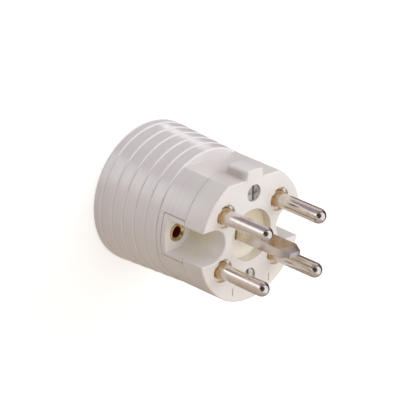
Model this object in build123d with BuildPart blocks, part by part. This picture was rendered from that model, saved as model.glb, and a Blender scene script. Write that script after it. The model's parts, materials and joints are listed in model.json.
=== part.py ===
from build123d import *
import math
import os

# Five-pole three-phase plug, standing on its cable end: +Z runs from the rear wall to the pins,
# +Y points to the key rib and +X runs across the pin face. Millimetres.

# Outside of the housing
body_length = 48.3
front_radius = 22.65
rear_rim_width = 3.55
ring_count = 5
ring_pitch = 4.86
ring_step = 0.25
ring_bevel = 0.5
groove_depth = 0.2
groove_rise = 0.3
rear_edge_radius = 0.8
housing_wall = 2.15
end_wall = 3.0
inlet_diameter = 16.0
seam_depth = 8.8
seam_chamfer = 0.25

# Flat and key rib
flat_depth = 3.2
rib_base_width = 8.0
rib_top_width = 6.6

# Contact carrier
carrier_depth = 15.3
spigot_rim = 0.6
recess_diameter = 17.8
recess_depth = 3.2
face_edge_chamfer = 0.3
mark_length = 2.7
mark_width = 0.4
mark_depth = 0.2
mark_inset = 3.2
mark_angles = (249.0, 299.0)

# Side channels, their threaded bushes and the notches that take the carrier's ears
channel_radius = 5.75
channel_inset = 5.2
channel_length = 16.2
ear_side_wall = 1.3
ear_end_wall = 1.8
ear_inner_wall = 1.2
bush_flange_diameter = 5.9
bush_flange_thickness = 1.0
bush_flange_proud = 0.5
bush_diameter = 5.2
bush_length = 8.0
bush_bore_diameter = 3.8
bush_mouth_chamfer = 0.65
bush_boss_wall = 1.2
bush_boss_floor = 1.0

# Round contacts
pin_diameter = 5.0
pin_length = 19.8
root_diameter = 5.4
well_diameter = 8.05
well_depth = 1.3
well_rib_width = 1.6
well_rib_drop = 0.4
well_channel_wall = 1.02
collar_diameter = 8.0
collar_thickness = 3.0
tail_diameter = 5.8
tail_length = 6.0

# Earth blade
blade_width = 7.6
blade_thickness = 3.0
blade_length = 19.4
blade_tip_width = 4.6
blade_tip_taper = 3.2
blade_tip_thickness = 1.3
foot_width = 11.0
foot_thickness = 5.6
blade_tail_width = 6.0

# Terminal screws and washers
terminal_screw_diameter = 4.0
terminal_head_diameter = 7.0
terminal_head_height = 2.4
terminal_screw_length = 7.0
washer_diameter = 7.2
washer_thickness = 1.2
tap_extra_depth = 1.0

# Plate that holds the contacts
plate_thickness = 2.0
plate_side_gap = 0.5
plate_screw_diameter = 2.5
plate_screw_length = 7.0
plate_head_diameter = 4.6
plate_head_height = 1.6

# Housing screws and inserts
screw_flat_distance = 5.0
screw_well_diameter = 5.85
screw_well_depth = 2.6
screw_head_diameter = 5.3
screw_head_height = 2.1
housing_screw_diameter = 3.5
insert_diameter = 5.5
insert_length = 8.0
insert_engagement = 7.0
post_wall = 1.0
post_rib_width = 2.4
slot_width = 0.9
slot_depth = 0.9
housing_slot_angle = 93.0

# Cord clamp
clamp_height = 5.5
clamp_length = 8.5
clamp_end_gap = 2.6
clamp_seat_height = 4.6
clamp_floor = 1.7
cord_radius = 6.6
pillar_thickness = 5.2
pillar_width = 6.0
clamp_screw_inset = 3.2
clamp_screw_diameter = 2.9
clamp_screw_length = 11.0
clamp_head_diameter = 5.2
clamp_head_height = 1.8

# Clearances
fit_gap = 0.3
thread_gap = 0.25
insert_gap = 0.1

# Heights along the plug
seam_z = body_length - seam_depth
ring_end_z = rear_rim_width + ring_count * ring_pitch
carrier_rear_z = body_length - carrier_depth
channel_wall_z = body_length - channel_length
notch_z = channel_wall_z - ear_end_wall - fit_gap
collar_top_z = carrier_rear_z + collar_thickness
tail_end_z = carrier_rear_z - tail_length
plate_rear_z = carrier_rear_z - plate_thickness
bush_top_z = channel_wall_z + bush_flange_proud
bush_end_z = bush_top_z - bush_length
bush_boss_z = bush_end_z - bush_boss_floor
screw_seat_z = body_length - screw_well_depth
post_top_z = carrier_rear_z - fit_gap
insert_seat_z = post_top_z - insert_length
housing_screw_end_z = post_top_z - insert_engagement
post_drill_z = housing_screw_end_z - insert_length
clamp_middle_z = clamp_height + clamp_length / 2
well_floor_z = body_length - well_depth
root_top_z = body_length - well_rib_drop

# Radii and half widths
rear_radius = front_radius + (ring_count + 1) * ring_step
bore_radius = front_radius - housing_wall
spigot_radius = bore_radius - fit_gap
flat_height = front_radius - flat_depth
bore_flat_height = flat_height - housing_wall
spigot_flat_height = bore_flat_height - fit_gap
contact_radius = spigot_radius - spigot_rim - fit_gap - collar_diameter / 2
channel_offset = front_radius - channel_inset
channel_reach = channel_radius + well_channel_wall + well_diameter / 2
well_rib_span = well_diameter + well_channel_wall
contact_half_x = (contact_radius**2 + channel_offset**2 - channel_reach**2) / (2 * channel_offset)
contact_half_y = math.sqrt(contact_radius**2 - contact_half_x**2)
ear_inner_offset = channel_offset - channel_radius - ear_inner_wall
ear_half_width = channel_radius + ear_side_wall
notch_half_width = ear_half_width + fit_gap
bush_boss_radius = bush_diameter / 2 + bush_boss_wall
post_radius = insert_diameter / 2 + post_wall
housing_screw_offset = flat_height - screw_flat_distance
plate_half_length = ear_inner_offset - plate_side_gap
plate_half_width = housing_screw_offset - post_radius - plate_side_gap
plate_screw_offset = (blade_tail_width / 2 + fit_gap + plate_half_width) / 2
clamp_half_span = spigot_radius - clamp_end_gap
clamp_screw_offset = clamp_half_span - clamp_screw_inset
clamp_inner_half_span = clamp_screw_offset - clamp_screw_inset
clamp_bar_top = cord_radius + clamp_floor
clamp_bar_thickness = clamp_bar_top - clamp_seat_height
mark_radius = front_radius - mark_inset
cut_width = 3 * rear_radius

# Places of the repeated pieces
contact_points = {
    "contact_l1": (-contact_half_x, contact_half_y),
    "contact_l2": (contact_half_x, contact_half_y),
    "contact_l3": (-contact_half_x, -contact_half_y),
    "contact_n": (contact_half_x, -contact_half_y),
}
terminal_points = list(contact_points.values()) + [(0, 0)]
housing_screw_points = ((0, housing_screw_offset), (0, -housing_screw_offset))
plate_screw_points = ((0, plate_screw_offset), (0, -plate_screw_offset))
channel_points = ((-channel_offset, 0), (channel_offset, 0))
clamp_screw_points = ((-clamp_screw_offset, clamp_middle_z), (clamp_screw_offset, clamp_middle_z))
mark_directions = [math.radians(angle) for angle in mark_angles]
mark_points = [(mark_radius * math.cos(turn), mark_radius * math.sin(turn)) for turn in mark_directions]

os.makedirs("parts", exist_ok=True)


def save(piece, name):
    piece.part.label = name
    export_step(piece.part, f"parts/{name}.step")


def half_plane(height):
    # Sketch region on the +Y side of a given height, for cutting flats
    with Locations((0, height)):
        Rectangle(cut_width, cut_width, align=(Align.CENTER, Align.MIN), mode=Mode.SUBTRACT)


# Outline of the housing from the rear rim to the seam, one step and groove after each ring
ring_outline = [(0, 0), (rear_radius, 0)]
for ring in range(ring_count + 1):
    line_z = rear_rim_width + ring * ring_pitch
    ring_radius = rear_radius - ring * ring_step
    next_radius = ring_radius - ring_step
    ring_outline.append((ring_radius, line_z - ring_bevel))
    ring_outline.append((next_radius - groove_depth, line_z))
    ring_outline.append((next_radius, line_z + groove_rise))
ring_outline += [
    (front_radius, seam_z - seam_chamfer),
    (front_radius - seam_chamfer, seam_z),
    (0, seam_z),
]

# Grip housing
with BuildPart() as grip_housing:
    with BuildSketch(Plane.XZ):
        with BuildLine():
            Polyline(*ring_outline, close=True)
        make_face()
    revolve(axis=Axis.Z)
    fillet(grip_housing.edges().group_by(Axis.Z)[0], rear_edge_radius)
    # Flat on top, in front of the last ring
    with BuildSketch(Plane.XY.offset(ring_end_z)):
        with Locations((0, flat_height)):
            Rectangle(cut_width, cut_width, align=(Align.CENTER, Align.MIN))
    extrude(amount=seam_z - ring_end_z, mode=Mode.SUBTRACT)
    # Wiring space, flattened under the flat
    with BuildSketch(Plane.XY.offset(end_wall)):
        Circle(bore_radius)
        half_plane(bore_flat_height)
    extrude(amount=seam_z - end_wall, mode=Mode.SUBTRACT)
    # Posts for the housing screws, the lower one with a rib to the wall
    with BuildSketch(Plane.XY.offset(end_wall)):
        with Locations(*housing_screw_points):
            Circle(post_radius)
        with Locations((0, -bore_radius)):
            Rectangle(post_rib_width, bore_radius - housing_screw_offset, align=(Align.CENTER, Align.MIN))
    extrude(amount=post_top_z - end_wall)
    with BuildSketch(Plane.XY.offset(post_top_z)):
        with Locations(*housing_screw_points):
            Circle(insert_diameter / 2 + insert_gap)
    extrude(amount=-insert_length, mode=Mode.SUBTRACT)
    with BuildSketch(Plane.XY.offset(insert_seat_z)):
        with Locations(*housing_screw_points):
            Circle(housing_screw_diameter / 2 + thread_gap)
    extrude(amount=post_drill_z - insert_seat_z, mode=Mode.SUBTRACT)
    # Notches for the carrier's ears and pockets for its bush bosses
    with BuildSketch(Plane.XY.offset(notch_z)):
        Rectangle(cut_width, 2 * notch_half_width)
    extrude(amount=seam_z - notch_z, mode=Mode.SUBTRACT)
    with BuildSketch(Plane.XY.offset(bush_boss_z - fit_gap)):
        with Locations(*channel_points):
            Circle(bush_boss_radius + fit_gap)
    extrude(amount=notch_z - bush_boss_z + fit_gap, mode=Mode.SUBTRACT)
    # Cable inlet
    with BuildSketch():
        Circle(inlet_diameter / 2)
    extrude(amount=end_wall, mode=Mode.SUBTRACT)
save(grip_housing, "grip_housing")

# Contact carrier
with BuildPart() as contact_carrier:
    # Spigot in the housing and the band in front of the seam
    with BuildSketch(Plane.XY.offset(carrier_rear_z)):
        Circle(spigot_radius)
        half_plane(spigot_flat_height)
    extrude(amount=seam_z - carrier_rear_z)
    with BuildSketch(Plane.XY.offset(seam_z)):
        Circle(front_radius)
        half_plane(flat_height)
    extrude(amount=seam_depth)
    # Key rib on the flat, its top on the round of the band
    with BuildSketch(Plane.XY.offset(seam_z)):
        with BuildLine():
            Polyline(
                (-rib_base_width / 2, 0),
                (-rib_base_width / 2, flat_height),
                (-rib_top_width / 2, front_radius),
                (rib_top_width / 2, front_radius),
                (rib_base_width / 2, flat_height),
                (rib_base_width / 2, 0),
                close=True,
            )
        make_face()
        Circle(front_radius, mode=Mode.INTERSECT)
    extrude(amount=seam_depth)
    # Ears in the notches of the housing
    with BuildSketch(Plane.XY.offset(notch_z + fit_gap)):
        Circle(front_radius)
        Rectangle(cut_width, 2 * ear_half_width, mode=Mode.INTERSECT)
        Rectangle(2 * ear_inner_offset, cut_width, mode=Mode.SUBTRACT)
    extrude(amount=seam_z - notch_z - fit_gap)
    # Bosses behind the ears for the side bushes
    with BuildSketch(Plane.XY.offset(bush_boss_z)):
        with Locations(*channel_points):
            Circle(bush_boss_radius)
    extrude(amount=carrier_rear_z - bush_boss_z)
    # Pillars that carry the cord clamp's saddle
    with BuildSketch(Plane.XY.offset(clamp_height)):
        with Locations(*channel_points):
            Rectangle(pillar_thickness, pillar_width)
        Circle(spigot_radius, mode=Mode.INTERSECT)
    extrude(amount=carrier_rear_z - clamp_height)
    with BuildSketch(Plane.XY.offset(clamp_height)):
        with Locations((0, -clamp_bar_top)):
            Rectangle(
                2 * clamp_half_span,
                clamp_bar_top + clamp_seat_height,
                align=(Align.CENTER, Align.MIN),
            )
        Circle(spigot_radius, mode=Mode.INTERSECT)
        with Locations((0, 0)):
            Rectangle(
                2 * clamp_inner_half_span,
                cut_width,
                align=(Align.CENTER, Align.MIN),
                mode=Mode.SUBTRACT,
            )
        Circle(cord_radius, mode=Mode.SUBTRACT)
    extrude(amount=clamp_length)
    # Round recess of the earth blade
    with BuildSketch(Plane.XY.offset(body_length)):
        Circle(recess_diameter / 2)
    extrude(amount=-recess_depth, mode=Mode.SUBTRACT)
    # Wells with four centring ribs, holes and collar seats of the round contacts
    with BuildSketch(Plane.XY.offset(body_length)):
        with Locations(*contact_points.values()):
            Circle(well_diameter / 2)
    extrude(amount=-well_depth, mode=Mode.SUBTRACT)
    with BuildSketch(Plane.XY.offset(well_floor_z)):
        with Locations(*contact_points.values()):
            Rectangle(well_rib_span, well_rib_width, rotation=45)
            Rectangle(well_rib_span, well_rib_width, rotation=-45)
    extrude(amount=root_top_z - well_floor_z)
    with BuildSketch(Plane.XY.offset(body_length)):
        with Locations(*contact_points.values()):
            Circle(root_diameter / 2 + fit_gap)
    extrude(amount=-carrier_depth, mode=Mode.SUBTRACT)
    with BuildSketch(Plane.XY.offset(collar_top_z)):
        with Locations(*contact_points.values()):
            Circle(collar_diameter / 2 + fit_gap)
    extrude(amount=notch_z - collar_top_z, mode=Mode.SUBTRACT)
    # Slot and foot seat of the earth blade
    with BuildSketch(Plane.XY.offset(body_length)):
        Rectangle(blade_width + 2 * fit_gap, blade_thickness + 2 * fit_gap)
    extrude(amount=-carrier_depth, mode=Mode.SUBTRACT)
    with BuildSketch(Plane.XY.offset(collar_top_z)):
        Rectangle(foot_width + 2 * fit_gap, foot_thickness + 2 * fit_gap)
    extrude(amount=-collar_thickness, mode=Mode.SUBTRACT)
    # Wells and holes of the housing screws
    with Locations(Plane.XY.offset(body_length)):
        with Locations(*housing_screw_points):
            CounterBoreHole(
                housing_screw_diameter / 2 + fit_gap,
                screw_well_diameter / 2,
                screw_well_depth,
                depth=carrier_depth,
            )
    # Side channels, open outwards and at the face
    with BuildSketch(Plane.XY.offset(channel_wall_z)):
        with Locations(*channel_points):
            Circle(channel_radius)
        Rectangle(cut_width, 2 * channel_radius)
        Rectangle(2 * channel_offset, 2 * channel_radius, mode=Mode.SUBTRACT)
        with Locations(*channel_points):
            Circle(channel_radius)
    extrude(amount=channel_length, mode=Mode.SUBTRACT)
    # Seats of the side bushes
    with BuildSketch(Plane.XY.offset(channel_wall_z)):
        with Locations(*channel_points):
            Circle(bush_flange_diameter / 2 + insert_gap)
    extrude(amount=bush_flange_proud - bush_flange_thickness, mode=Mode.SUBTRACT)
    with BuildSketch(Plane.XY.offset(channel_wall_z)):
        with Locations(*channel_points):
            Circle(bush_diameter / 2 + insert_gap)
    extrude(amount=bush_end_z - channel_wall_z, mode=Mode.SUBTRACT)
    # Pilot holes of the plate screws
    with BuildSketch(Plane.XY.offset(carrier_rear_z)):
        with Locations(*plate_screw_points):
            Circle(plate_screw_diameter / 2 + thread_gap)
    extrude(amount=plate_screw_length, mode=Mode.SUBTRACT)
    # Pilot holes of the clamp screws, down into the saddle blocks
    with BuildSketch(Plane.XZ.offset(-clamp_seat_height)):
        with Locations(*clamp_screw_points):
            Circle(clamp_screw_diameter / 2 + thread_gap)
    extrude(amount=clamp_screw_length - clamp_bar_thickness + tap_extra_depth, mode=Mode.SUBTRACT)
    # Short moulded marks on the face
    with BuildSketch(Plane.XY.offset(body_length)):
        with Locations(*mark_points):
            Rectangle(mark_width, mark_length)
    extrude(amount=-mark_depth, mode=Mode.SUBTRACT)
    face_outline = contact_carrier.faces().sort_by(Axis.Z)[-1].outer_wire().edges()
    chamfer(face_outline, face_edge_chamfer)
save(contact_carrier, "contact_carrier")

# Round contacts: rounded pin, thicker root, collar and tapped tail in one turned piece
pin_tip_z = body_length + pin_length
tap_depth = terminal_screw_length - washer_thickness + tap_extra_depth
for contact_name, (contact_x, contact_y) in contact_points.items():
    with BuildPart() as contact:
        with BuildSketch(Plane((contact_x, contact_y, 0), x_dir=(1, 0, 0), z_dir=(0, -1, 0))):
            with BuildLine():
                Polyline(
                    (0, pin_tip_z),
                    (0, tail_end_z + tap_depth),
                    (terminal_screw_diameter / 2, tail_end_z + tap_depth),
                    (terminal_screw_diameter / 2, tail_end_z),
                    (tail_diameter / 2, tail_end_z),
                    (tail_diameter / 2, carrier_rear_z),
                    (collar_diameter / 2, carrier_rear_z),
                    (collar_diameter / 2, collar_top_z),
                    (root_diameter / 2, collar_top_z),
                    (root_diameter / 2, root_top_z),
                    (pin_diameter / 2, root_top_z),
                    (pin_diameter / 2, pin_tip_z - pin_diameter / 2),
                )
                RadiusArc(
                    (pin_diameter / 2, pin_tip_z - pin_diameter / 2),
                    (0, pin_tip_z),
                    -pin_diameter / 2,
                )
            make_face()
        revolve(axis=Axis((contact_x, contact_y, 0), (0, 0, 1)))
    save(contact, contact_name)

# Earth blade with a chisel tip, a foot in the carrier and a tapped tail
blade_tip_z = body_length + blade_length
blade_taper_z = blade_tip_z - blade_tip_taper
with BuildPart() as earth_blade:
    with BuildSketch(Plane.XZ):
        with BuildLine():
            Polyline(
                (-blade_width / 2, collar_top_z),
                (-blade_width / 2, blade_taper_z),
                (-blade_tip_width / 2, blade_tip_z),
                (blade_tip_width / 2, blade_tip_z),
                (blade_width / 2, blade_taper_z),
                (blade_width / 2, collar_top_z),
                close=True,
            )
        make_face()
    extrude(amount=blade_thickness / 2, both=True)
    with BuildSketch(Plane.YZ):
        with BuildLine():
            Polyline(
                (-blade_thickness / 2, collar_top_z),
                (-blade_thickness / 2, blade_taper_z),
                (-blade_tip_thickness / 2, blade_tip_z),
                (blade_tip_thickness / 2, blade_tip_z),
                (blade_thickness / 2, blade_taper_z),
                (blade_thickness / 2, collar_top_z),
                close=True,
            )
        make_face()
    extrude(amount=blade_width / 2, both=True, mode=Mode.INTERSECT)
    with BuildSketch(Plane.XY.offset(carrier_rear_z)):
        Rectangle(foot_width, foot_thickness)
    extrude(amount=collar_thickness)
    with BuildSketch(Plane.XY.offset(tail_end_z)):
        Rectangle(blade_tail_width, blade_tail_width)
    extrude(amount=tail_length)
    with BuildSketch(Plane.XY.offset(tail_end_z)):
        Circle(terminal_screw_diameter / 2)
    extrude(amount=tap_depth, mode=Mode.SUBTRACT)
save(earth_blade, "earth_blade")

# Threaded side bushes
for bush_name, (bush_x, bush_y) in zip(("side_bush_left", "side_bush_right"), channel_points):
    with BuildPart() as side_bush:
        with BuildSketch(Plane((bush_x, bush_y, bush_end_z))):
            Circle(bush_diameter / 2)
        extrude(amount=bush_length)
        with BuildSketch(Plane((bush_x, bush_y, bush_top_z))):
            Circle(bush_flange_diameter / 2)
        extrude(amount=-bush_flange_thickness)
        with BuildSketch(Plane((bush_x, bush_y, bush_end_z))):
            Circle(bush_bore_diameter / 2)
        extrude(amount=bush_length, mode=Mode.SUBTRACT)
        mouth_edge = side_bush.edges().group_by(Axis.Z)[-1].sort_by(SortBy.RADIUS)[0]
        chamfer(mouth_edge, bush_mouth_chamfer)
    save(side_bush, bush_name)

# Plate that holds the contacts in the carrier
with BuildPart() as retaining_plate:
    with BuildSketch(Plane.XY.offset(plate_rear_z)):
        Rectangle(2 * plate_half_length, 2 * plate_half_width)
        with Locations(*contact_points.values()):
            Circle(tail_diameter / 2 + fit_gap, mode=Mode.SUBTRACT)
        Rectangle(blade_tail_width + 2 * fit_gap, blade_tail_width + 2 * fit_gap, mode=Mode.SUBTRACT)
        with Locations(*plate_screw_points):
            Circle(plate_screw_diameter / 2 + fit_gap, mode=Mode.SUBTRACT)
    extrude(amount=plate_thickness)
save(retaining_plate, "retaining_plate")

with BuildPart() as plate_screws:
    with BuildSketch(Plane.XY.offset(plate_rear_z)):
        with Locations(*plate_screw_points):
            Circle(plate_screw_diameter / 2)
    extrude(amount=plate_screw_length)
    with BuildSketch(Plane.XY.offset(plate_rear_z)):
        with Locations(*plate_screw_points):
            Circle(plate_head_diameter / 2)
    extrude(amount=-plate_head_height)
    with BuildSketch(Plane.XY.offset(plate_rear_z - plate_head_height)):
        with Locations(*plate_screw_points):
            Rectangle(slot_width, plate_head_diameter)
    extrude(amount=slot_depth, mode=Mode.SUBTRACT)
save(plate_screws, "plate_screws")

# Washers and screws of the five terminals
washer_z = tail_end_z - washer_thickness
with BuildPart() as terminal_washers:
    with BuildSketch(Plane.XY.offset(washer_z)):
        with Locations(*terminal_points):
            Circle(washer_diameter / 2)
            Circle(terminal_screw_diameter / 2, mode=Mode.SUBTRACT)
    extrude(amount=washer_thickness)
save(terminal_washers, "terminal_washers")

with BuildPart() as terminal_screws:
    with BuildSketch(Plane.XY.offset(washer_z)):
        with Locations(*terminal_points):
            Circle(terminal_screw_diameter / 2 - thread_gap)
    extrude(amount=terminal_screw_length)
    with BuildSketch(Plane.XY.offset(washer_z)):
        with Locations(*terminal_points):
            Circle(terminal_head_diameter / 2)
    extrude(amount=-terminal_head_height)
    with BuildSketch(Plane.XY.offset(washer_z - terminal_head_height)):
        with Locations(*terminal_points):
            Rectangle(slot_width, terminal_head_diameter)
    extrude(amount=slot_depth, mode=Mode.SUBTRACT)
save(terminal_screws, "terminal_screws")

# Housing screws and the inserts that they run into
with BuildPart() as housing_screws:
    with BuildSketch(Plane.XY.offset(screw_seat_z)):
        with Locations(*housing_screw_points):
            Circle(housing_screw_diameter / 2)
    extrude(amount=housing_screw_end_z - screw_seat_z)
    with BuildSketch(Plane.XY.offset(screw_seat_z)):
        with Locations(*housing_screw_points):
            Circle(screw_head_diameter / 2)
    extrude(amount=screw_head_height)
    with BuildSketch(Plane.XY.offset(screw_seat_z + screw_head_height)):
        with Locations(*housing_screw_points):
            Rectangle(screw_head_diameter, slot_width, rotation=housing_slot_angle)
    extrude(amount=-slot_depth, mode=Mode.SUBTRACT)
save(housing_screws, "housing_screws")

with BuildPart() as housing_inserts:
    with BuildSketch(Plane.XY.offset(insert_seat_z)):
        with Locations(*housing_screw_points):
            Circle(insert_diameter / 2)
            Circle(housing_screw_diameter / 2 + thread_gap, mode=Mode.SUBTRACT)
    extrude(amount=insert_length)
save(housing_inserts, "housing_inserts")

# Cord clamp bar on the carrier's saddle blocks, with its screws
with BuildPart() as cord_clamp_bar:
    with BuildSketch(Plane.XY.offset(clamp_height)):
        with Locations((0, clamp_seat_height)):
            Rectangle(2 * clamp_half_span, clamp_bar_thickness, align=(Align.CENTER, Align.MIN))
        Circle(spigot_radius, mode=Mode.INTERSECT)
        Circle(cord_radius, mode=Mode.SUBTRACT)
    extrude(amount=clamp_length)
    with BuildSketch(Plane.XZ.offset(-clamp_bar_top)):
        with Locations(*clamp_screw_points):
            Circle(clamp_screw_diameter / 2 + fit_gap)
    extrude(amount=clamp_bar_thickness, mode=Mode.SUBTRACT)
save(cord_clamp_bar, "cord_clamp_bar")

with BuildPart() as clamp_screws:
    with BuildSketch(Plane.XZ.offset(-clamp_bar_top)):
        with Locations(*clamp_screw_points):
            Circle(clamp_screw_diameter / 2)
    extrude(amount=clamp_screw_length)
    with BuildSketch(Plane.XZ.offset(-clamp_bar_top)):
        with Locations(*clamp_screw_points):
            Circle(clamp_head_diameter / 2)
    extrude(amount=-clamp_head_height)
    with BuildSketch(Plane.XZ.offset(-clamp_bar_top - clamp_head_height)):
        with Locations(*clamp_screw_points):
            Rectangle(slot_width, clamp_head_diameter)
    extrude(amount=slot_depth, mode=Mode.SUBTRACT)
save(clamp_screws, "clamp_screws")
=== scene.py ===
import bmesh
import bpy
import json
import math
from mathutils import Matrix, Vector

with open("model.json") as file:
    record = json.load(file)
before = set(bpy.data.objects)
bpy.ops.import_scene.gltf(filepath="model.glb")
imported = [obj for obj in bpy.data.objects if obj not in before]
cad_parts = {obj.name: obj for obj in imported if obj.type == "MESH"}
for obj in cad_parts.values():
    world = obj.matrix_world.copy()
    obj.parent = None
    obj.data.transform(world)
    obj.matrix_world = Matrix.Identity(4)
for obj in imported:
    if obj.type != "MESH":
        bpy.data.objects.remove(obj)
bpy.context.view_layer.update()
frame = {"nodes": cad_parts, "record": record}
nodes = frame["nodes"]
scene = bpy.context.scene
scene.view_settings.view_transform = "Standard"
mm = 0.001
print("frame loaded:", len(nodes), "nodes")


class Wire:
    # one socket of a shader tree: sums on wires add Math nodes, node() adds any other node
    def __init__(self, tree, socket=None):
        self.tree = tree
        self.socket = socket

    def node(self, kind, settings=None, inputs=None, out=0):
        made = self.tree.nodes.new(kind)
        for key, value in (settings or {}).items():
            if key == "stops":
                ramp = made.color_ramp.elements
                while len(ramp) < len(value):
                    ramp.new(1.0)
                for stop, (place, colour) in zip(ramp, value):
                    stop.position = place
                    stop.color = colour
            else:
                setattr(made, key, value)
        for key, value in (inputs or {}).items():
            if isinstance(value, Wire):
                self.tree.links.new(value.socket, made.inputs[key])
            else:
                made.inputs[key].default_value = value
        return Wire(self.tree, made.outputs[out] if made.outputs else None)

    def maths(self, operation, first, second=0.0):
        return self.node("ShaderNodeMath", {"operation": operation}, {0: first, 1: second})

    def __add__(self, other):
        return self.maths("ADD", self, other)

    def __radd__(self, other):
        return self.maths("ADD", other, self)

    def __sub__(self, other):
        return self.maths("SUBTRACT", self, other)

    def __rsub__(self, other):
        return self.maths("SUBTRACT", other, self)

    def __mul__(self, other):
        return self.maths("MULTIPLY", self, other)

    def __rmul__(self, other):
        return self.maths("MULTIPLY", other, self)

    def __truediv__(self, other):
        return self.maths("DIVIDE", self, other)

    def __rtruediv__(self, other):
        return self.maths("DIVIDE", other, self)

    def __neg__(self):
        return self.maths("MULTIPLY", self, -1.0)

    def __abs__(self):
        return self.maths("ABSOLUTE", self)


def startMaterial(name):
    material = bpy.data.materials.new(name)
    material.use_nodes = True
    material.node_tree.nodes.clear()
    return material, Wire(material.node_tree)


def endMaterial(wire, shader):
    wire.node("ShaderNodeOutputMaterial", None, {"Surface": shader})


def objectPlace(wire):
    return wire.node("ShaderNodeTexCoord", None, None, "Object")


def axes(wire, vector):
    return [wire.node("ShaderNodeSeparateXYZ", None, {"Vector": vector}, axis) for axis in "XYZ"]


def alongSide(wire, vector, side):
    # how far a vector goes in a direction
    settings = {"operation": "DOT_PRODUCT"}
    return wire.node("ShaderNodeVectorMath", settings, {0: vector, 1: side}, "Value")


def reach(wire, x, y):
    # length of an offset across the plug
    return wire.maths("SQRT", x * x + y * y)


def stretched(wire, place, scale):
    return wire.node("ShaderNodeMapping", None, {"Vector": place, "Scale": scale})


def noise(wire, place, scale, detail=2.0):
    inputs = {"Vector": place, "Scale": scale, "Detail": detail}
    return wire.node("ShaderNodeTexNoise", None, inputs, "Fac")


def fade(wire, low, high):
    # 0 below low, 1 above high, smooth between
    inputs = {"Value": wire, "From Min": low, "From Max": high}
    return wire.node("ShaderNodeMapRange", {"interpolation_type": "SMOOTHSTEP"}, inputs)


def beyond(wire, edge, soft=0.1 * mm):
    # 1 past an edge, with a narrow soft border before it
    return fade(wire, edge - soft, edge)


def patches(wire, place, spec):
    # soft-edged patches of noise
    return fade(noise(wire, place, spec["scale"], spec["detail"]), spec["low"], spec["high"])


def mixColour(wire, amount, first, second):
    settings = {"data_type": "RGBA"}
    return wire.node("ShaderNodeMix", settings, {"Factor": amount, 6: first, 7: second}, 2)


def bump(wire, height, distance):
    return wire.node("ShaderNodeBump", None, {"Height": height, "Distance": distance})


# moulded ivory plastic: cloudy tone, fine grain, soft gloss
plastic = {
    "housingTone": (0.85, 0.828, 0.822, 1.0),
    # the carrier is a little lighter than the housing, in part a painted light on its lower front
    "carrierTone": (0.86, 0.845, 0.835, 1.0),
    "deepTone": (0.82, 0.8, 0.78, 1.0),
    "cloud": {"scale": 60.0, "detail": 3.0, "low": 0.35, "high": 0.75},
    "grainScale": 3200.0,
    "grainDepth": 0.012 * mm,
    "gloss": 0.22,
    "glossSpread": 0.04,
    "glossPatches": {"scale": 400.0, "detail": 4.0, "low": 0.3, "high": 0.75},
    "ior": 1.5,
}
# the flat on top has yellowed a little
flat = {
    "height": 19.5 * mm,
    "border": (0.04 * mm, 0.1 * mm),
    "start": (27.85 * mm, 27.95 * mm),
    "tone": (0.81, 0.772, 0.725, 1.0),
    "amount": 0.8,
}
# dark line where housing and carrier meet
seam = {
    "height": 39.5 * mm,
    "border": (0.05 * mm, 0.16 * mm),
    "floor": 22.2 * mm,
    "tone": (0.42, 0.385, 0.35, 1.0),
    "amount": 0.8,
}
# rings of the housing: spans are counted in turns of the pitch or along the side that shows below
rings = {
    "start": 3.55 * mm,
    "pitch": 4.86 * mm,
    "end": (5.2, 5.4),
    "lastGroove": (4.5, 4.6),
    "floor": 22.35 * mm,
    "lowerSide": (-0.27, -0.963, 0.0),
    "fineScale": (40.0, 40.0, 2400.0),
    "fineLines": {"scale": 1.0, "detail": 3.0, "low": 0.3, "high": 0.7},
    "fineTone": (0.73, 0.7, 0.7, 1.0),
    "fineAmount": 0.35,
    "edgeBorder": (0.336 * mm, 0.42 * mm),
    # painted highlight on the ring edges above and painted shade on them below
    "edgeHighlightTone": (0.92, 0.88, 0.86, 1.0),
    "edgeHighlightAbove": (-14 * mm, -9 * mm),
    "edgeShadeBelow": (0.0, 8 * mm),
    "edgeShadeAmount": 0.06,
    # dust and painted shade in the grooves share this tone with the painted shade on the lower edges
    "dustAndShadeTone": (0.42, 0.385, 0.35, 1.0),
    "grooveDarkBorder": (0.05 * mm, 0.32 * mm),
    "grooveShadeFrom": (-11 * mm, -5 * mm),
    "grooveShadeTo": (-3 * mm, 8 * mm),
    "dustPatches": {"scale": 220.0, "detail": 2.0, "low": 0.3, "high": 0.7},
    "dustAndShadeLeast": 0.1,
    "dustPatchy": 0.25,
    "lastMore": 0.25,
    "lastKeeps": 0.6,
}


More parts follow.
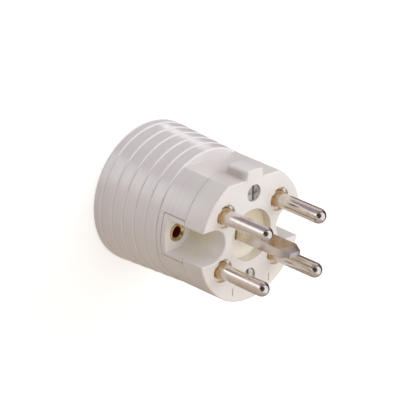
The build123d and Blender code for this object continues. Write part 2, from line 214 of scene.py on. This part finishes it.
def ringWearAndShading(wire, colour, place, height, radius):
    # fine lines round the body
    lines = patches(wire, stretched(wire, place, rings["fineScale"]), rings["fineLines"])
    colour = mixColour(wire, lines * rings["fineAmount"], colour, rings["fineTone"])
    # distance to the nearest groove, on the outside of the rings only
    turn = (height - rings["start"]) / rings["pitch"]
    away = abs(turn - wire.maths("ROUND", turn)) * rings["pitch"]
    onRings = (1 - fade(turn, *rings["end"])) * beyond(radius, rings["floor"])
    lastLine = fade(turn, *rings["lastGroove"])
    side = alongSide(wire, place, rings["lowerSide"])
    # painted highlight on the edges above, where they face the light, and a little painted shade on them
    # below
    edge = (1 - fade(away, *rings["edgeBorder"])) * onRings
    edgeHighlight = edge * (1 - fade(side, *rings["edgeHighlightAbove"]))
    colour = mixColour(wire, edgeHighlight, colour, rings["edgeHighlightTone"])
    edgeShade = edge * fade(side, *rings["edgeShadeBelow"]) * rings["edgeShadeAmount"]
    colour = mixColour(wire, edgeShade, colour, rings["dustAndShadeTone"])
    # dust and painted shade in the grooves: none above, where they face the light, little below, most in
    # the last one
    line = (1 - fade(away, *rings["grooveDarkBorder"])) * onRings
    towardsShade = fade(side, *rings["grooveShadeFrom"])
    shadeKept = 1 - fade(side, *rings["grooveShadeTo"]) * (1 - lastLine * rings["lastKeeps"])
    patchy = rings["dustAndShadeLeast"] + rings["dustPatchy"] * patches(wire, place, rings["dustPatches"])
    dustAndShade = line * towardsShade * shadeKept * (patchy + rings["lastMore"] * lastLine)
    return mixColour(wire, dustAndShade, colour, rings["dustAndShadeTone"])


hollowMouth = (47.9 * mm, 48.1 * mm)
# painted warm shade in the side channels, most in the upper half, which lies in shade, and away from the
# mouth
channels = {
    "offset": 17.45 * mm,
    "radius": 5.95 * mm,
    "floor": (32.0 * mm, 34.0 * mm),
    "tone": (0.82, 0.76, 0.42, 1.0),
    "amount": 0.68,
    "clouds": {"scale": 160.0, "detail": 2.0, "low": 0.3, "high": 0.7},
    "cloudLeast": 0.5,
    "upper": (-5.0 * mm, -0.8 * mm),
    "lowerShare": 0.2,
    "paleFrom": (39.0 * mm, 46.5 * mm),
    "paleAmount": 0.8,
}
# the round recess is painted lighter, with a painted yellower shade at its wall and towards the side that
# lies in shade
recess = {
    "radius": 9.1 * mm,
    "floor": 44.9 * mm,
    "tone": (0.97, 0.945, 0.89, 1.0),
    "deepTone": (0.89, 0.83, 0.69, 1.0),
    "towards": (-6 * mm, 4 * mm),
    "wall": (8.6 * mm, 8.85 * mm),
    "wallAmount": 0.7,
}
# wells round the contacts have painted shade and a painted warm reflection of the brass, more beside the
# contacts than above and below
wells = {
    "halfX": 12.09 * mm,
    "halfY": 9.37 * mm,
    "radius": 4.3 * mm,
    "floor": 40.0 * mm,
    "mouth": (47.5 * mm, 48.0 * mm),
    "tone": (0.92, 0.72, 0.54, 1.0),
    "amount": 0.52,
    "beside": (-0.5 * mm, 1.0 * mm),
    "moreBeside": 0.15,
}


def hollowShading(wire, colour, place, x, y, height, radius):
    within = 1 - fade(height, *hollowMouth)
    toChannel = reach(wire, abs(x) - channels["offset"], y)
    inChannel = (1 - beyond(toChannel, channels["radius"])) * fade(height, *channels["floor"]) * within
    upper = channels["lowerShare"] + (1 - channels["lowerShare"]) * fade(y, *channels["upper"])
    pale = 1 - channels["paleAmount"] * fade(height, *channels["paleFrom"])
    clouds = patches(wire, place, channels["clouds"])
    cloudy = channels["cloudLeast"] + (1 - channels["cloudLeast"]) * clouds
    # painted warm shade in the channels
    channelShade = inChannel * upper * pale * cloudy * channels["amount"]
    colour = mixColour(wire, channelShade, colour, channels["tone"])
    # the recess is painted lighter, with painted shade at its wall and towards one side
    inRecess = (1 - beyond(radius, recess["radius"])) * beyond(height, recess["floor"]) * within
    wallShade = fade(radius, *recess["wall"]) * recess["wallAmount"]
    recessShade = wire.maths("MAXIMUM", fade(x + y, *recess["towards"]), wallShade)
    colour = mixColour(wire, inRecess, colour, mixColour(wire, recessShade, recess["tone"], recess["deepTone"]))
    # painted shade and warm reflection in the wells round the contacts
    aside = abs(x) - wells["halfX"]
    above = abs(y) - wells["halfY"]
    inWell = 1 - beyond(reach(wire, aside, above), wells["radius"])
    inWell = inWell * beyond(height, wells["floor"]) * (1 - fade(height, *wells["mouth"]))
    beside = fade(abs(aside) - abs(above), *wells["beside"])
    wellShadeAndReflection = inWell * (wells["amount"] + wells["moreBeside"] * beside)
    return mixColour(wire, wellShadeAndReflection, colour, wells["tone"])


# painted shade in the corners beside the key rib, less of it near the face
ribCorner = {
    "across": (3.3 * mm, 3.6 * mm),
    "acrossEnd": (4.0 * mm, 4.6 * mm),
    "up": (19.1 * mm, 19.5 * mm),
    "upEnd": (21.0 * mm, 22.6 * mm),
    "face": (45.0 * mm, 48.0 * mm),
    "faceLess": 0.6,
    "tone": (0.5, 0.47, 0.44, 1.0),
    "amount": 0.9,
}
# the two marks low on the face are coloured darker
marks = {
    "floor": 48.1 * mm,
    "border": (0.08 * mm, 0.16 * mm),
    "top": -14.2 * mm,
    "radius": 21.2 * mm,
    "tone": (0.62, 0.51, 0.37, 1.0),
}


def faceShadeAndMarks(wire, colour, x, y, height, radius):
    # painted shade in the corners beside the key rib
    besideRib = fade(abs(x), *ribCorner["across"]) * (1 - fade(abs(x), *ribCorner["acrossEnd"]))
    overFlat = fade(y, *ribCorner["up"]) * (1 - fade(y, *ribCorner["upEnd"]))
    nearFace = 1 - fade(height, *ribCorner["face"]) * ribCorner["faceLess"]
    ribShade = besideRib * overFlat * nearFace * ribCorner["amount"]
    colour = mixColour(wire, ribShade, colour, ribCorner["tone"])
    onFloor = 1 - fade(abs(height - marks["floor"]), *marks["border"])
    inMark = onFloor * (1 - beyond(y, marks["top"])) * (1 - beyond(radius, marks["radius"]))
    return mixColour(wire, inMark, colour, marks["tone"])


def plasticMaterial(name, isHousing):
    material, wire = startMaterial(name)
    place = objectPlace(wire)
    x, y, height = axes(wire, place)
    radius = reach(wire, x, y)
    tone = plastic["housingTone"] if isHousing else plastic["carrierTone"]
    colour = mixColour(wire, patches(wire, place, plastic["cloud"]), tone, plastic["deepTone"])
    if isHousing:
        colour = ringWearAndShading(wire, colour, place, height, radius)
    else:
        colour = hollowShading(wire, colour, place, x, y, height, radius)
        colour = faceShadeAndMarks(wire, colour, x, y, height, radius)
    onFlat = (1 - fade(abs(y - flat["height"]), *flat["border"])) * fade(height, *flat["start"])
    colour = mixColour(wire, onFlat * flat["amount"], colour, flat["tone"])
    onSeam = (1 - fade(abs(height - seam["height"]), *seam["border"])) * beyond(radius, seam["floor"])
    colour = mixColour(wire, onSeam * seam["amount"], colour, seam["tone"])
    grain = noise(wire, place, plastic["grainScale"])
    glossy = patches(wire, place, plastic["glossPatches"])
    inputs = {
        "Base Color": colour,
        "Roughness": plastic["gloss"] + plastic["glossSpread"] * glossy,
        "Normal": bump(wire, grain, plastic["grainDepth"]),
        "IOR": plastic["ior"],
    }
    endMaterial(wire, wire.node("ShaderNodeBsdfPrincipled", None, inputs))
    return material


# turned and plated metals: faint stains, fine lathe lines round the axis, and a painted tone low down
# where sheltered: painted shade in bores and slots, a painted warm reflection on contacts and blade
metals = {
    "nickel": {
        "tone": (0.77, 0.73, 0.7, 1.0),
        "stain": (0.73, 0.67, 0.61, 1.0),
        "stainScale": 420.0,
        "gloss": 0.13,
        "glossSpread": 0.04,
        "turned": 0.3,
        "lineDepth": 0.0004 * mm,
        # painted warm reflection of the wells on the contact roots, fading up the contacts
        "deepTone": (0.88, 0.72, 0.46, 1.0),
        "deepTop": (48.0 * mm, 51.5 * mm),
        "deepGloss": 0.4,
    },
    # the blade's broad faces are browner towards the tip, and its tip has a painted grey reflection with
    # painted shade, darkest at one corner
    "bladeNickel": {
        "tone": (0.74, 0.69, 0.66, 1.0),
        "stain": (0.7, 0.63, 0.57, 1.0),
        "stainScale": 420.0,
        "gloss": 0.17,
        "glossSpread": 0.03,
        "turned": 0.0,
        "lineDepth": 0.0002 * mm,
        # painted warm reflection of the recess on the blade's root
        "deepTone": (0.66, 0.56, 0.38, 1.0),
        "deepTop": (45.0 * mm, 52.0 * mm),
        "deepGloss": 0.15,
        "broadFaceTone": (0.7, 0.55, 0.42, 1.0),
        "broadFaceFrom": (53.0 * mm, 62.0 * mm),
        "broadFaceFacing": (0.6, 0.8),
        # painted grey reflection on the tip and painted shade at its corner
        "tipReflectionTone": (0.48, 0.45, 0.45, 1.0),
        "tipReflectionFrom": (64.0 * mm, 66.5 * mm),
        "cornerShadeTone": (0.27, 0.235, 0.225, 1.0),
        "cornerShadeFrom": (0.0, 2.4 * mm),
    },
    # the bushes have a painted highlight towards the axis, painted shade below and painted dark shade in
    # the bore
    "brass": {
        "tone": (0.93, 0.7, 0.4, 1.0),
        "stain": (0.76, 0.52, 0.24, 1.0),
        "stainScale": 420.0,
        "gloss": 0.2,
        "glossSpread": 0.1,
        "turned": 0.0,
        "lineDepth": 0.001 * mm,
        # painted dark shade in the bore
        "deepTone": (0.17, 0.024, 0.012, 1.0),
        "deepTop": (31.8 * mm, 32.1 * mm),
        "deepReach": (1.995 * mm, 2.1 * mm),
        "deepGloss": 0.15,
        "deepMatte": 0.9,
        "bushReach": (6.0 * mm, 7.0 * mm),
        "highlightTone": (1.0, 0.78, 0.5, 1.0),
        "highlightFrom": (0.6 * mm, 2.2 * mm),
        "shadedTone": (0.56, 0.5, 0.27, 1.0),
        "shadedFrom": (0.8 * mm, 2.4 * mm),
    },
    # painted shade in the slots of the two screws in the face
    "steel": {
        "tone": (0.7, 0.675, 0.66, 1.0),
        "stain": (0.32, 0.3, 0.295, 1.0),
        "stainScale": 650.0,
        "gloss": 0.32,
        "glossSpread": 0.2,
        "turned": 0.0,
        "lineDepth": 0.002 * mm,
        # painted shade in the screw slots
        "deepTone": (0.34, 0.32, 0.31, 1.0),
        "deepTop": (46.9 * mm, 47.7 * mm),
        "deepFloor": 46.0 * mm,
        "deepGloss": 0.15,
        "deepMatte": 0.9,
    },
}
# what all the metals share
metalDetail = {
    "stains": {"detail": 4.0, "low": 0.45, "high": 0.7},
    "glossPatches": {"scale": 900.0, "detail": 3.0, "low": 0.35, "high": 0.7},
    "latheScale": (250.0, 250.0, 5200.0),
    "latheTurn": 0.25,
}


def metalMaterial(name):
    spec = metals[name]
    material, wire = startMaterial(name)
    place = objectPlace(wire)
    x, y, height = axes(wire, place)
    toBush = reach(wire, abs(x) - channels["offset"], y)
    stains = patches(wire, place, {"scale": spec["stainScale"], **metalDetail["stains"]})
    colour = mixColour(wire, stains, spec["tone"], spec["stain"])
    if "broadFaceTone" in spec:
        facing = axes(wire, wire.node("ShaderNodeNewGeometry", None, None, "True Normal"))[1]
        broadFaces = fade(abs(facing), *spec["broadFaceFacing"]) * fade(height, *spec["broadFaceFrom"])
        colour = mixColour(wire, broadFaces, colour, spec["broadFaceTone"])
        # painted grey reflection on the blade's tip, painted shade darkest at one corner
        tip = fade(height, *spec["tipReflectionFrom"])
        colour = mixColour(wire, tip, colour, spec["tipReflectionTone"])
        colour = mixColour(wire, tip * fade(x, *spec["cornerShadeFrom"]), colour, spec["cornerShadeTone"])
    if "bushReach" in spec:
        # painted highlight towards the axis and painted shade below on the bushes
        onBush = 1 - fade(toBush, *spec["bushReach"])
        highlit = fade(channels["offset"] - abs(x), *spec["highlightFrom"])
        colour = mixColour(wire, highlit * onBush, colour, spec["highlightTone"])
        colour = mixColour(wire, fade(-y, *spec["shadedFrom"]) * onBush, colour, spec["shadedTone"])
    # the painted low tone: shade in bores and slots, warm reflection on contacts and blade
    deep = 1 - fade(height, *spec["deepTop"])
    if "deepReach" in spec:
        deep = deep * (1 - fade(toBush, *spec["deepReach"]))
    if "deepFloor" in spec:
        deep = deep * beyond(height, spec["deepFloor"])
    gloss = spec["gloss"] + spec["glossSpread"] * patches(wire, place, metalDetail["glossPatches"])
    lathe = noise(wire, stretched(wire, place, metalDetail["latheScale"]), 1.0)
    inputs = {
        "Base Color": mixColour(wire, deep, colour, spec["deepTone"]),
        "Metallic": 1.0 - spec["deepMatte"] * deep if "deepMatte" in spec else 1.0,
        "Roughness": gloss + spec["deepGloss"] * deep,
        "Anisotropic": spec["turned"],
        "Anisotropic Rotation": metalDetail["latheTurn"],
        "Normal": bump(wire, lathe, spec["lineDepth"]),
    }
    endMaterial(wire, wire.node("ShaderNodeBsdfPrincipled", None, inputs))
    return material


# brown insulating laminate of the retaining plate, with the weave of its fibres
laminate = {
    "tone": (0.2, 0.1, 0.05, 1.0),
    "fibreTone": (0.34, 0.19, 0.1, 1.0),
    "acrossScale": (3000.0, 200.0, 200.0),
    "alongScale": (200.0, 3000.0, 200.0),
    "fibreSpan": (0.4, 0.62),
    "fibreDepth": 0.01 * mm,
    "gloss": 0.5,
    "glossSpread": 0.2,
}


def laminateMaterial(name):
    material, wire = startMaterial(name)
    place = objectPlace(wire)
    across = noise(wire, stretched(wire, place, laminate["acrossScale"]), 1.0)
    along = noise(wire, stretched(wire, place, laminate["alongScale"]), 1.0)
    fibre = fade((across + along) / 2, *laminate["fibreSpan"])
    inputs = {
        "Base Color": mixColour(wire, fibre, laminate["tone"], laminate["fibreTone"]),
        "Roughness": laminate["gloss"] + laminate["glossSpread"] * fibre,
        "Normal": bump(wire, fibre, laminate["fibreDepth"]),
    }
    endMaterial(wire, wire.node("ShaderNodeBsdfPrincipled", None, inputs))
    return material


finishes = {
    "housing_plastic": plasticMaterial("housingPlastic", True),
    "carrier_plastic": plasticMaterial("carrierPlastic", False),
    "nickel": metalMaterial("nickel"),
    "blade_nickel": metalMaterial("bladeNickel"),
    "brass": metalMaterial("brass"),
    "steel": metalMaterial("steel"),
    "plate_laminate": laminateMaterial("plateLaminate"),
}
for row in frame["record"]["subparts"]:
    slots = nodes[row["node"]].data.materials
    slots.clear()
    slots.append(finishes[row["material_slot"]])
print("finishes set:", len(finishes))


# camera at the photograph's angle: the plug stands on its cable end, so the view is rolled
viewPoint = {
    "azimuth": 240.06,
    "elevation": 39.77,
    "roll": -113.71,
    "aim": (-1.29 * mm, 3.04 * mm, 30.61 * mm),
    "distance": 1051.0 * mm,
    "lens": 279.64,
    "sensor": 36.0,
    "clipStart": 0.05,
    "clipEnd": 20.0,
}


def addCamera(spec):
    data = bpy.data.cameras.new("camera")
    data.lens = spec["lens"]
    data.sensor_width = spec["sensor"]
    data.clip_start = spec["clipStart"]
    data.clip_end = spec["clipEnd"]
    camera = bpy.data.objects.new("camera", data)
    scene.collection.objects.link(camera)
    turned = Matrix.Rotation(math.radians(spec["azimuth"]), 4, "Z")
    tipped = Matrix.Rotation(math.radians(90.0 - spec["elevation"]), 4, "X")
    rolled = Matrix.Rotation(math.radians(-spec["roll"]), 4, "Z")
    back = Matrix.Translation((0.0, 0.0, spec["distance"]))
    camera.matrix_world = Matrix.Translation(spec["aim"]) @ turned @ tipped @ back @ rolled
    scene.camera = camera


addCamera(viewPoint)
print("camera set:", viewPoint["lens"], "mm lens")


# studio: pale floor, soft light over the face and from one side, surround cool above and warm below
studio = {
    "floorSize": 6.0,
    "floorDrop": 0.05 * mm,
    "floorTone": (0.55, 0.54, 0.53, 1.0),
    "fleckTone": (0.8, 0.8, 0.8, 1.0),
    "fleckScale": 300.0,
    "fleckAmount": 0.1,
    "floorGlow": 0.6,
    "floorRunOut": (0.25, 0.9),
    "coolTone": (0.87, 0.845, 0.91, 1.0),
    "warmTone": (0.4, 0.315, 0.235, 1.0),
    "warmSide": (-0.257, -0.915, 0.311),
    "warmSpan": (-0.45, 0.8),
    "white": (1.0, 1.0, 1.0, 1.0),
    "lightAim": (0.0, 0.0, 40.0 * mm),
}
softLights = [
    {"name": "faceLight", "place": (0.0, 0.0, 1.0), "size": 0.8, "watts": 2.7, "tone": (1.0, 0.99, 0.88)},
    {"name": "sideLight", "place": (0.55, 0.5, 0.6), "size": 0.8, "watts": 2.2, "tone": (0.95, 0.97, 1.0)},
]


def seenDirectly(wire):
    # camera, mirror and see-through rays get the plain white surround
    names = ("Is Camera Ray", "Is Glossy Ray", "Is Transmission Ray")
    camera, glossy, through = [wire.node("ShaderNodeLightPath", None, None, name) for name in names]
    return wire.maths("MINIMUM", camera + glossy + through, 1.0)


def addFloor(spec):
    shape = bmesh.new()
    bmesh.ops.create_grid(shape, x_segments=1, y_segments=1, size=spec["floorSize"] / 2)
    bmesh.ops.translate(shape, verts=shape.verts, vec=(0.0, 0.0, -spec["floorDrop"]))
    mesh = bpy.data.meshes.new("floor")
    shape.to_mesh(mesh)
    shape.free()
    floor = bpy.data.objects.new("floor", mesh)
    scene.collection.objects.link(floor)
    material, wire = startMaterial("floorPaper")
    place = objectPlace(wire)
    fleck = noise(wire, place, spec["fleckScale"]) * spec["fleckAmount"]
    matte = wire.node("ShaderNodeBsdfPrincipled", None, {
        "Base Color": mixColour(wire, fleck, spec["floorTone"], spec["fleckTone"]),
        "Roughness": 1.0,
        "Specular IOR Level": 0.0,
    })
    glow = wire.node("ShaderNodeEmission", None, {"Color": spec["white"], "Strength": spec["floorGlow"]})
    lit = wire.node("ShaderNodeAddShader", None, {0: matte, 1: glow})
    # far from the plug it runs out into the white surround
    white = wire.node("ShaderNodeEmission", None, {"Color": spec["white"], "Strength": 1.0})
    away = wire.node("ShaderNodeVectorMath", {"operation": "LENGTH"}, {0: place}, "Value")
    runOut = fade(away, *spec["floorRunOut"])
    shown = wire.node("ShaderNodeMixShader", None, {0: runOut, 1: lit, 2: white})
    seen = wire.node("ShaderNodeMixShader", None, {0: seenDirectly(wire), 1: matte, 2: shown})
    endMaterial(wire, seen)
    mesh.materials.append(material)


def addLight(spec, aim):
    data = bpy.data.lights.new(spec["name"], "AREA")
    data.shape = "DISK"
    data.size = spec["size"]
    data.energy = spec["watts"]
    data.color = spec["tone"]
    light = bpy.data.objects.new(spec["name"], data)
    scene.collection.objects.link(light)
    light.location = spec["place"]
    light.rotation_euler = (Vector(aim) - light.location).to_track_quat("-Z", "Y").to_euler()
    light.visible_glossy = False


def addWorld(spec):
    world = bpy.data.worlds.new("surround")
    world.use_nodes = True
    world.node_tree.nodes.clear()
    wire = Wire(world.node_tree)
    # cool from above, warm and dimmer from the side that the photograph has below
    look = wire.node("ShaderNodeTexCoord", None, None, "Generated")
    towardsWarm = fade(alongSide(wire, look, spec["warmSide"]), *spec["warmSpan"])
    tone = mixColour(wire, towardsWarm, spec["coolTone"], spec["warmTone"])
    soft = wire.node("ShaderNodeBackground", None, {"Color": tone, "Strength": 1.0})
    white = wire.node("ShaderNodeBackground", None, {"Color": spec["white"], "Strength": 1.0})
    shown = wire.node("ShaderNodeMixShader", None, {0: seenDirectly(wire), 1: soft, 2: white})
    wire.node("ShaderNodeOutputWorld", None, {"Surface": shown})
    scene.world = world


# cards out of sight, which only shiny surfaces show: on the rings, tones by compass angle in degrees
cards = {
    "pinRing": {
        "name": "pinRing",
        "inner": 66.0 * mm,
        "outer": 420.0 * mm,
        "low": 0.4 * mm,
        "high": 100.0 * mm,
        "glow": 1.3,
        "tones": [
            (-180.0, (0.5, 0.44, 0.39)),
            (-140.0, (0.42, 0.35, 0.29)),
            (-110.0, (0.34, 0.28, 0.23)),
            (-40.0, (0.28, 0.23, 0.19)),
            (-16.0, (0.06, 0.045, 0.045)),
            (16.0, (0.06, 0.045, 0.045)),
            (26.0, (0.22, 0.15, 0.1)),
            (38.0, (0.3, 0.22, 0.17)),
            (48.0, (0.6, 0.54, 0.52)),
            (66.0, (0.6, 0.54, 0.53)),
            (84.0, (0.29, 0.25, 0.28)),
            (124.0, (0.29, 0.25, 0.28)),
            (142.0, (1.0, 0.98, 0.98)),
            (156.0, (1.0, 0.98, 0.97)),
            (172.0, (0.54, 0.48, 0.43)),
            (180.0, (0.5, 0.44, 0.39)),
        ],
    },
    "wallRing": {
        "name": "wallRing",
        "inner": 420.0 * mm,
        "outer": 430.0 * mm,
        "low": 100.0 * mm,
        "high": 300.0 * mm,
        "glow": 1.0,
        "tones": [
            (-180.0, (0.6, 0.54, 0.5)),
            (-100.0, (0.5, 0.43, 0.37)),
            (-38.0, (0.4, 0.35, 0.31)),
            (-14.0, (0.07, 0.055, 0.055)),
            (32.0, (0.07, 0.055, 0.055)),
            (48.0, (0.36, 0.31, 0.31)),
            (70.0, (0.3, 0.26, 0.28)),
            (110.0, (0.24, 0.2, 0.22)),
            (128.0, (0.05, 0.03, 0.035)),
            (162.0, (0.02, 0.012, 0.012)),
            (172.0, (0.55, 0.5, 0.47)),
            (180.0, (0.6, 0.54, 0.5)),
        ],
    },
    "bodyRing": {
        "name": "bodyRing",
        "inner": 24.6 * mm,
        "outer": 66.0 * mm,
        "low": 0.4 * mm,
        "high": 0.4 * mm,
        "glow": 3.0,
        "tones": [
            (-180.0, (0.28, 0.26, 0.24)),
            (-110.0, (0.2, 0.17, 0.14)),
            (-60.0, (0.06, 0.04, 0.02)),
            (0.0, (0.05, 0.045, 0.045)),
            (30.0, (0.05, 0.045, 0.05)),
            (128.0, (0.05, 0.045, 0.055)),
            (138.0, (0.9, 0.92, 1.0)),
            (152.0, (0.9, 0.92, 1.0)),
            (164.0, (0.3, 0.29, 0.28)),
            (180.0, (0.28, 0.26, 0.24)),
        ],
    },
    # strip on the floor that lights a streak along the top of the rings
    "streak": {
        "name": "streakCard",
        "low": 0.6 * mm,
        "glow": 2.15,
        "tone": (1.0, 0.97, 0.99, 1.0),
        "corners": [
            (7.2 * mm, 24.9 * mm),
            (33.8 * mm, 33.5 * mm),
            (26.6 * mm, 41.9 * mm),
            (3.3 * mm, 26.2 * mm),
        ],
    },
    # round cards, tones from the middle outwards: dark about the lens, warm on the photograph's lower side
    "lens": {
        "name": "lensCard",
        "radius": 1.2,
        "glow": 1.0,
        "tones": [
            (0.0, (0.07, 0.042, 0.043)),
            (0.56, (0.08, 0.05, 0.051)),
            (0.78, (0.45, 0.42, 0.42)),
            (1.0, (0.95, 0.94, 0.94)),
        ],
    },
    "warm": {
        "name": "warmCard",
        "radius": 0.9,
        "away": 0.9,
        "glow": 1.0,
        "tones": [
            (0.0, (0.5, 0.46, 0.43)),
            (0.75, (0.55, 0.51, 0.49)),
            (1.0, (0.8, 0.78, 0.77)),
        ],
    },
}
ringSegments = 96
roundSegments = 64


def cardObject(name, shape, material):
    mesh = bpy.data.meshes.new(name)
    shape.to_mesh(mesh)
    shape.free()
    mesh.materials.append(material)
    card = bpy.data.objects.new(name, mesh)
    scene.collection.objects.link(card)
    for ray in ("camera", "diffuse", "transmission", "volume_scatter", "shadow"):
        setattr(card, "visible_" + ray, False)
    return card


def cardMaterial(spec, gradient=None, stops=None):
    # one tone all over, or tones along a gradient
    material, wire = startMaterial(spec["name"])
    tone = spec.get("tone")
    if gradient:
        settings = {"gradient_type": gradient}
        along = wire.node("ShaderNodeTexGradient", settings, {"Vector": objectPlace(wire)}, "Fac")
        tone = wire.node("ShaderNodeValToRGB", {"stops": stops}, {"Fac": along})
    endMaterial(wire, wire.node("ShaderNodeEmission", None, {"Color": tone, "Strength": spec["glow"]}))
    return material


def addRingCard(spec):
    # ring round the plug, rising from its inner to its outer rim
    shape = bmesh.new()
    bmesh.ops.create_circle(shape, segments=ringSegments, radius=spec["inner"])
    rim = bmesh.ops.extrude_edge_only(shape, edges=shape.edges[:])["geom"]
    outer = [part for part in rim if isinstance(part, bmesh.types.BMVert)]
    grow = spec["outer"] / spec["inner"]
    bmesh.ops.scale(shape, verts=outer, vec=(grow, grow, 1.0))
    bmesh.ops.translate(shape, verts=shape.verts, vec=(0.0, 0.0, spec["low"]))
    bmesh.ops.translate(shape, verts=outer, vec=(0.0, 0.0, spec["high"] - spec["low"]))
    stops = [((angle + 180.0) / 360.0, tone + (1.0,)) for angle, tone in spec["tones"]]
    cardObject(spec["name"], shape, cardMaterial(spec, "RADIAL", stops))


def addStreakCard(spec):
    shape = bmesh.new()
    corners = [shape.verts.new(corner + (spec["low"],)) for corner in spec["corners"]]
    bmesh.ops.contextual_create(shape, geom=corners)
    cardObject(spec["name"], shape, cardMaterial(spec))


def addRoundCard(spec, matrix):
    shape = bmesh.new()
    bmesh.ops.create_circle(shape, cap_ends=True, segments=roundSegments, radius=1.0)
    stops = [(1.0 - place, tone + (1.0,)) for place, tone in reversed(spec["tones"])]
    card = cardObject(spec["name"], shape, cardMaterial(spec, "SPHERICAL", stops))
    card.matrix_world = matrix @ Matrix.Scale(spec["radius"], 4)


for name in ("pinRing", "wallRing", "bodyRing"):
    addRingCard(cards[name])
addStreakCard(cards["streak"])
addRoundCard(cards["lens"], scene.camera.matrix_world)
warmAxis = Vector(studio["warmSide"])
warmTurn = warmAxis.to_track_quat("Z", "Y").to_matrix().to_4x4()
addRoundCard(cards["warm"], Matrix.Translation(warmAxis * cards["warm"]["away"]) @ warmTurn)
addFloor(studio)
addWorld(studio)
for light in softLights:
    addLight(light, studio["lightAim"])
print("studio set:", len(softLights), "lights,", len(cards), "cards")
